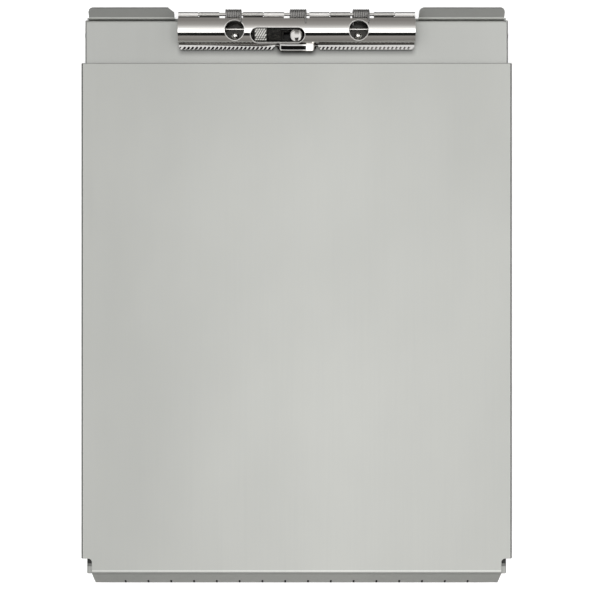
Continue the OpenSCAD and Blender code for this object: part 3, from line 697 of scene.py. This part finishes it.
def make_softened_parts():
    """Every stamped, turned or riveted part, with its edges broken as tumbling leaves them."""
    for node, radius in EDGE_RADII.items():
        shape = merged_copy(node)
        if node in DRESSING:
            bmesh.ops.triangulate(shape, faces=shape.faces)
            for dress in DRESSING[node]:
                dress(shape)
            bmesh.ops.dissolve_limit(shape, angle_limit=DRESSED_FLAT_ANGLE,
                                     verts=shape.verts, edges=shape.edges)
        soften(shape, radius * MM)
        piece = finished_piece(shape, node + "_finished", body_holding(node), slot_of(node), node)
        add_even_normals(piece)


# ---------------------------------------------------------------- springs

COIL_R = 2.35 * MM
COIL_LENGTH = 8.4 * MM
# How far to the left of the solid the wire starts
COIL_LEAD = 0.3 * MM
WIRE_R = 0.5 * MM
WIRE_SIDES = 12
STEPS_PER_TURN = 26
COIL_TURNS = 8
# Where the wire joins and leaves the coil, round the pin from +Y towards +Z
COIL_START = math.radians(-81.0)
COIL_END = math.radians(74.5 + COIL_TURNS * 360)
LEG = 5.9 * MM


def leaving(angle):
    """Direction in which a wire wound round the pin leaves it at an angle."""
    return Vector((0, -math.sin(angle), math.cos(angle)))


def draw_out(shape, ring, way):
    """Lengthens a tube from its open ring of edges."""
    made = bmesh.ops.extrude_edge_only(shape, edges=ring)["geom"]
    bmesh.ops.translate(shape, verts=points_in(made), vec=way)


def make_spring(name, node):
    """Close-wound coil on the pin: one leg lies on the base, the other presses on the cover."""
    start_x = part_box(node)[0][0] - COIL_LEAD
    shape = bmesh.new()
    bmesh.ops.create_circle(shape, segments=WIRE_SIDES, radius=WIRE_R, cap_ends=False)
    bmesh.ops.rotate(shape, verts=shape.verts, cent=(0, 0, 0), matrix=Matrix.Rotation(COIL_START, 3, "X"))
    out = COIL_R * Vector((0, math.cos(COIL_START), math.sin(COIL_START)))
    bmesh.ops.translate(shape, verts=shape.verts, vec=Vector((start_x, HINGE.y, HINGE.z)) + out)
    sweep = COIL_END - COIL_START
    steps = round(sweep / (2 * math.pi) * STEPS_PER_TURN)
    wound = bmesh.ops.spin(shape, geom=list(shape.edges), cent=HINGE, axis=(1, 0, 0), angle=sweep, steps=steps,
                           dvec=(COIL_LENGTH / steps, 0, 0), use_merge=False, use_duplicate=False)
    last_ring = [edge for edge in wound["geom_last"] if isinstance(edge, bmesh.types.BMEdge)]
    first_ring = [edge for edge in open_edges(shape) if edge not in last_ring]
    draw_out(shape, last_ring, LEG * leaving(COIL_END))
    draw_out(shape, first_ring, -LEG * leaving(COIL_START))
    bmesh.ops.holes_fill(shape, edges=open_edges(shape), sides=0)
    bmesh.ops.recalc_face_normals(shape, faces=shape.faces)
    piece = finished_piece(shape, name, None, "spring_steel", node, smooth_angle=50)
    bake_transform(piece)


# ---------------------------------------------------------------- thumb pad

# Cells of the knurl along X and Y
KNURL_COLUMNS, KNURL_ROWS = 10, 12


def on_arch(y, radius):
    """Height of a cylinder round the cover's axis, over the line at y."""
    return ARCH.z + math.sqrt(radius ** 2 - (y - ARCH.y) ** 2)


def make_thumb_pad():
    """Curved pad with a diamond knurl, standing up through the slot."""
    low, high = (Vector(corner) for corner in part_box("thumb_pad"))
    size = high - low
    shape = bmesh.new()
    bmesh.ops.create_grid(shape, x_segments=KNURL_COLUMNS, y_segments=KNURL_ROWS, size=0.5)
    bmesh.ops.scale(shape, verts=shape.verts, vec=(size.x, size.y, 1))
    bmesh.ops.translate(shape, verts=shape.verts, vec=((low.x + high.x) / 2, (low.y + high.y) / 2, 0))
    for point in shape.verts:
        column = round((point.co.x - low.x) / size.x * KNURL_COLUMNS)
        row = round((point.co.y - low.y) / size.y * KNURL_ROWS)
        inside = 0 < column < KNURL_COLUMNS and 0 < row < KNURL_ROWS
        raised = inside and row % 2 and (column + row // 2) % 2
        point.co.z = on_arch(point.co.y, PAD_TOP_R + (KNURL_H if raised else 0))
    made = bmesh.ops.extrude_edge_only(shape, edges=open_edges(shape))["geom"]
    for point in points_in(made):
        point.co.z = on_arch(point.co.y, PAD_BASE_R)
    bmesh.ops.holes_fill(shape, edges=open_edges(shape), sides=0)
    bmesh.ops.recalc_face_normals(shape, faces=shape.faces)
    finished_piece(shape, "thumb_pad_knurled", "lock", "pad_chrome", "thumb_pad", smooth_angle=12)


# ---------------------------------------------------------------- finger tab

# In millimetres: the tab's ends along Y, its height at the front and its highest place, half its length, the
# radius of its corners and its sheet
TAB_FRONT, TAB_BACK = 135.75, 139.5
TAB_Z, TAB_TOP_Z = 18.0, 20.6
TAB_END = 9.6
TAB_CORNER = 1.6
TAB_SHEET = 0.5
# Cells of its grid along X and Y
TAB_CELLS = (96, 44)
# Slope in degrees by place in millimetres: from the front to the wall, in from the rim, and out to each end
LENGTH_SLOPES = [(135.75, 10), (136.6, 14), (138.7, 17), (138.85, 3), (139.5, 3)]
RIM_SLOPES = [(0, 75), (0.25, 45), (0.55, 22), (1.0, 0)]
END_SLOPES = [(0, 0), (4.4, 0), (5.4, 8), (9.6, 8)]


def risen(place, slopes):
    """Height of a section at a place; from each place in the list to the next its slope changes evenly."""
    height = 0.0
    for (start, slope), (end, next_slope) in zip(slopes, slopes[1:]):
        run = min(max(place - start, 0.0), end - start)
        share = run / (end - start)
        height += run * math.tan(math.radians(slope + (next_slope - slope) * share / 2))
    return height


def make_finger_tab():
    """Dished tab under the middle of the cover's front, with a rim turned up all round."""
    shape = bmesh.new()
    bmesh.ops.create_grid(shape, x_segments=TAB_CELLS[0], y_segments=TAB_CELLS[1], size=1.0)
    for point in shape.verts:
        across, along = point.co.x, (point.co.y + 1) / 2
        y = TAB_FRONT + (TAB_BACK - TAB_FRONT) * along
        corner = max(0.0, TAB_CORNER - (y - TAB_FRONT))
        half = TAB_END - TAB_CORNER + math.sqrt(TAB_CORNER ** 2 - corner ** 2)
        x = across * half
        inner = max(0.0, abs(x) - TAB_END + TAB_CORNER)
        edge = TAB_CORNER - math.hypot(inner, corner)
        rim = risen(RIM_SLOPES[-1][0], RIM_SLOPES) - risen(max(0.0, edge), RIM_SLOPES)
        z = TAB_Z + risen(y, LENGTH_SLOPES) + rim + risen(abs(x), END_SLOPES)
        point.co = Vector((x, y, min(z, TAB_TOP_Z))) * MM
    made = bmesh.ops.extrude_face_region(shape, geom=list(shape.faces), use_keep_orig=True)["geom"]
    bmesh.ops.translate(shape, verts=points_in(made), vec=(0, 0, -TAB_SHEET * MM))
    bmesh.ops.recalc_face_normals(shape, faces=shape.faces)
    finished_piece(shape, "finger_tab", "clip", "cover_chrome", smooth_angle=40)


make_softened_parts()
make_finger_tab()
for side in ("left", "middle", "right"):
    make_spring("spring_" + side + "_wire", "spring_" + side)
make_thumb_pad()


# ---------------------------------------------------------------- studio

# Half of the floor's side in metres, its distance from the tray and its own light
FLOOR_HALF = 3.0
FLOOR_GAP = 0.1 * MM
FLOOR_GLOW = 0.3


def make_floor():
    """A plain pale floor under the tray."""
    finish, tree, shader = new_finish("pale_floor")
    cloud = stretched_noise(tree, (3.0, 3.0, 3.0), detail=2.0)
    fill(tree, shader, {"Base Color": blended(tree, cloud, (0.92, 0.92, 0.92), (0.94, 0.94, 0.94)),
                        "Roughness": 0.8, "Emission Color": (1, 1, 1, 1), "Emission Strength": FLOOR_GLOW})
    shape = bmesh.new()
    bmesh.ops.create_grid(shape, x_segments=1, y_segments=1, size=FLOOR_HALF)
    bmesh.ops.translate(shape, verts=shape.verts, vec=(0, 0, cad_box[0][2] - FLOOR_GAP))
    mesh = bpy.data.meshes.new("studio_floor")
    shape.to_mesh(mesh)
    shape.free()
    floor = bpy.data.objects.new("studio_floor", mesh)
    mesh.materials.append(finish)
    bpy.context.scene.collection.objects.link(floor)
    floor.visible_glossy = False


def grey(level, warmth=1.0):
    """A light level, a little warmer than neutral where warmth is under 1."""
    return (level, level * (1 + warmth) / 2, level * warmth)


# Light levels by direction, in degrees. Over the clip's length the studio is one narrow strip, which the
# bright plating shows as bands, from the front (-) over straight up (0) to the back (+).
STRIP = [
    (-165, grey(0.25)), (-140, grey(0.2)), (-124, grey(0.09)), (-104, grey(0.07)), (-90, grey(0.1, 0.92)),
    (-78, grey(0.114, 0.92)), (-67, grey(0.121, 0.92)), (-56, grey(0.136, 0.92)), (-46, grey(0.15, 0.92)),
    (-38.5, grey(0.15, 0.92)), (-36.5, grey(0.006)), (-12, grey(0.006)), (-10, grey(1.0)), (15, grey(0.9)),
    (20, grey(0.52, 0.99)), (25.3, grey(0.41, 0.98)), (30.6, grey(0.32, 0.97)), (35.9, grey(0.24, 0.96)),
    (41.3, grey(0.195, 0.95)), (46.7, grey(0.172, 0.94)), (58, grey(0.148, 0.93)), (63.5, grey(0.134, 0.92)),
    (69.4, grey(0.12, 0.92)), (81, grey(0.125, 0.92)), (110, grey(0.08)), (140, grey(0.25)),
]
# To both sides of the strip stand softboxes, which light the floor and the brushed metal: their levels from
# the front to the back and from the left to the right, and how far they take the strip's place.
SOFTBOX = [(-140, grey(0.6)), (-100, grey(0.06)), (-88, grey(0.1)), (-74, grey(1.0)), (48, grey(1.0)),
           (62, grey(0.1)), (100, grey(0.06)), (140, grey(0.6))]
SIDES = [(-85, grey(0.35)), (-65, grey(0.35)), (-55, grey(0.84)), (0, grey(0.95)), (55, grey(1.0)),
         (65, grey(0.3)), (85, grey(0.25))]
BESIDE_STRIP = [(-13, grey(1)), (-10, grey(0)), (22, grey(0)), (27, grey(1))]
LIGHT_STRENGTH = 1.9


def by_angle(tree, angle, stops):
    """Colour by angle, from (degrees, colour) stops."""
    share = ranged(tree, angle, start=-math.pi, end=math.pi)
    return colour_table(tree, share, [((degrees + 180) / 360, colour) for degrees, colour in stops])


def make_light():
    """A strip light between two softboxes and dark walls, which the camera sees as a plain white backdrop."""
    world = bpy.data.worlds.new("studio")
    bpy.context.scene.world = world
    world.use_nodes = True
    tree = world.node_tree
    place = tree.nodes.new("ShaderNodeTexCoord")
    parts = tree.nodes.new("ShaderNodeSeparateXYZ")
    fill(tree, parts, {"Vector": place.outputs["Generated"]})
    x, y, z = parts.outputs
    tilt = calculated(tree, "ARCTAN2", y, z)
    side = calculated(tree, "ARCSINE", x)
    boxes = mixed(tree, "RGBA", 1.0, by_angle(tree, tilt, SOFTBOX), by_angle(tree, side, SIDES), "MULTIPLY")
    sky = mixed(tree, "RGBA", by_angle(tree, side, BESIDE_STRIP), by_angle(tree, tilt, STRIP), boxes)
    ray = tree.nodes.new("ShaderNodeLightPath")
    backdrop = mixed(tree, "RGBA", ray.outputs["Is Camera Ray"], sky, (1, 1, 1, 1))
    fill(tree, tree.nodes["Background"], {"Color": backdrop, "Strength": LIGHT_STRENGTH})


# The camera's place, its lens in millimetres and the nearest that it sees, in metres
CAMERA_PLACE = Vector((-0.9, 1.23, 668)) * MM
FOCAL_LENGTH = 71.78
SENSOR_WIDTH = 36.0
NEAREST = 0.01


def make_camera():
    """Straight down over the tray, with the clip at the top of the picture."""
    lens = bpy.data.cameras.new("overhead_camera")
    lens.sensor_width = SENSOR_WIDTH
    lens.lens = FOCAL_LENGTH
    lens.clip_start = NEAREST
    camera = bpy.data.objects.new("overhead_camera", lens)
    camera.location = CAMERA_PLACE
    bpy.context.scene.collection.objects.link(camera)
    bpy.context.scene.camera = camera


make_floor()
make_light()
make_camera()
bpy.context.scene.view_settings.view_transform = "Standard"
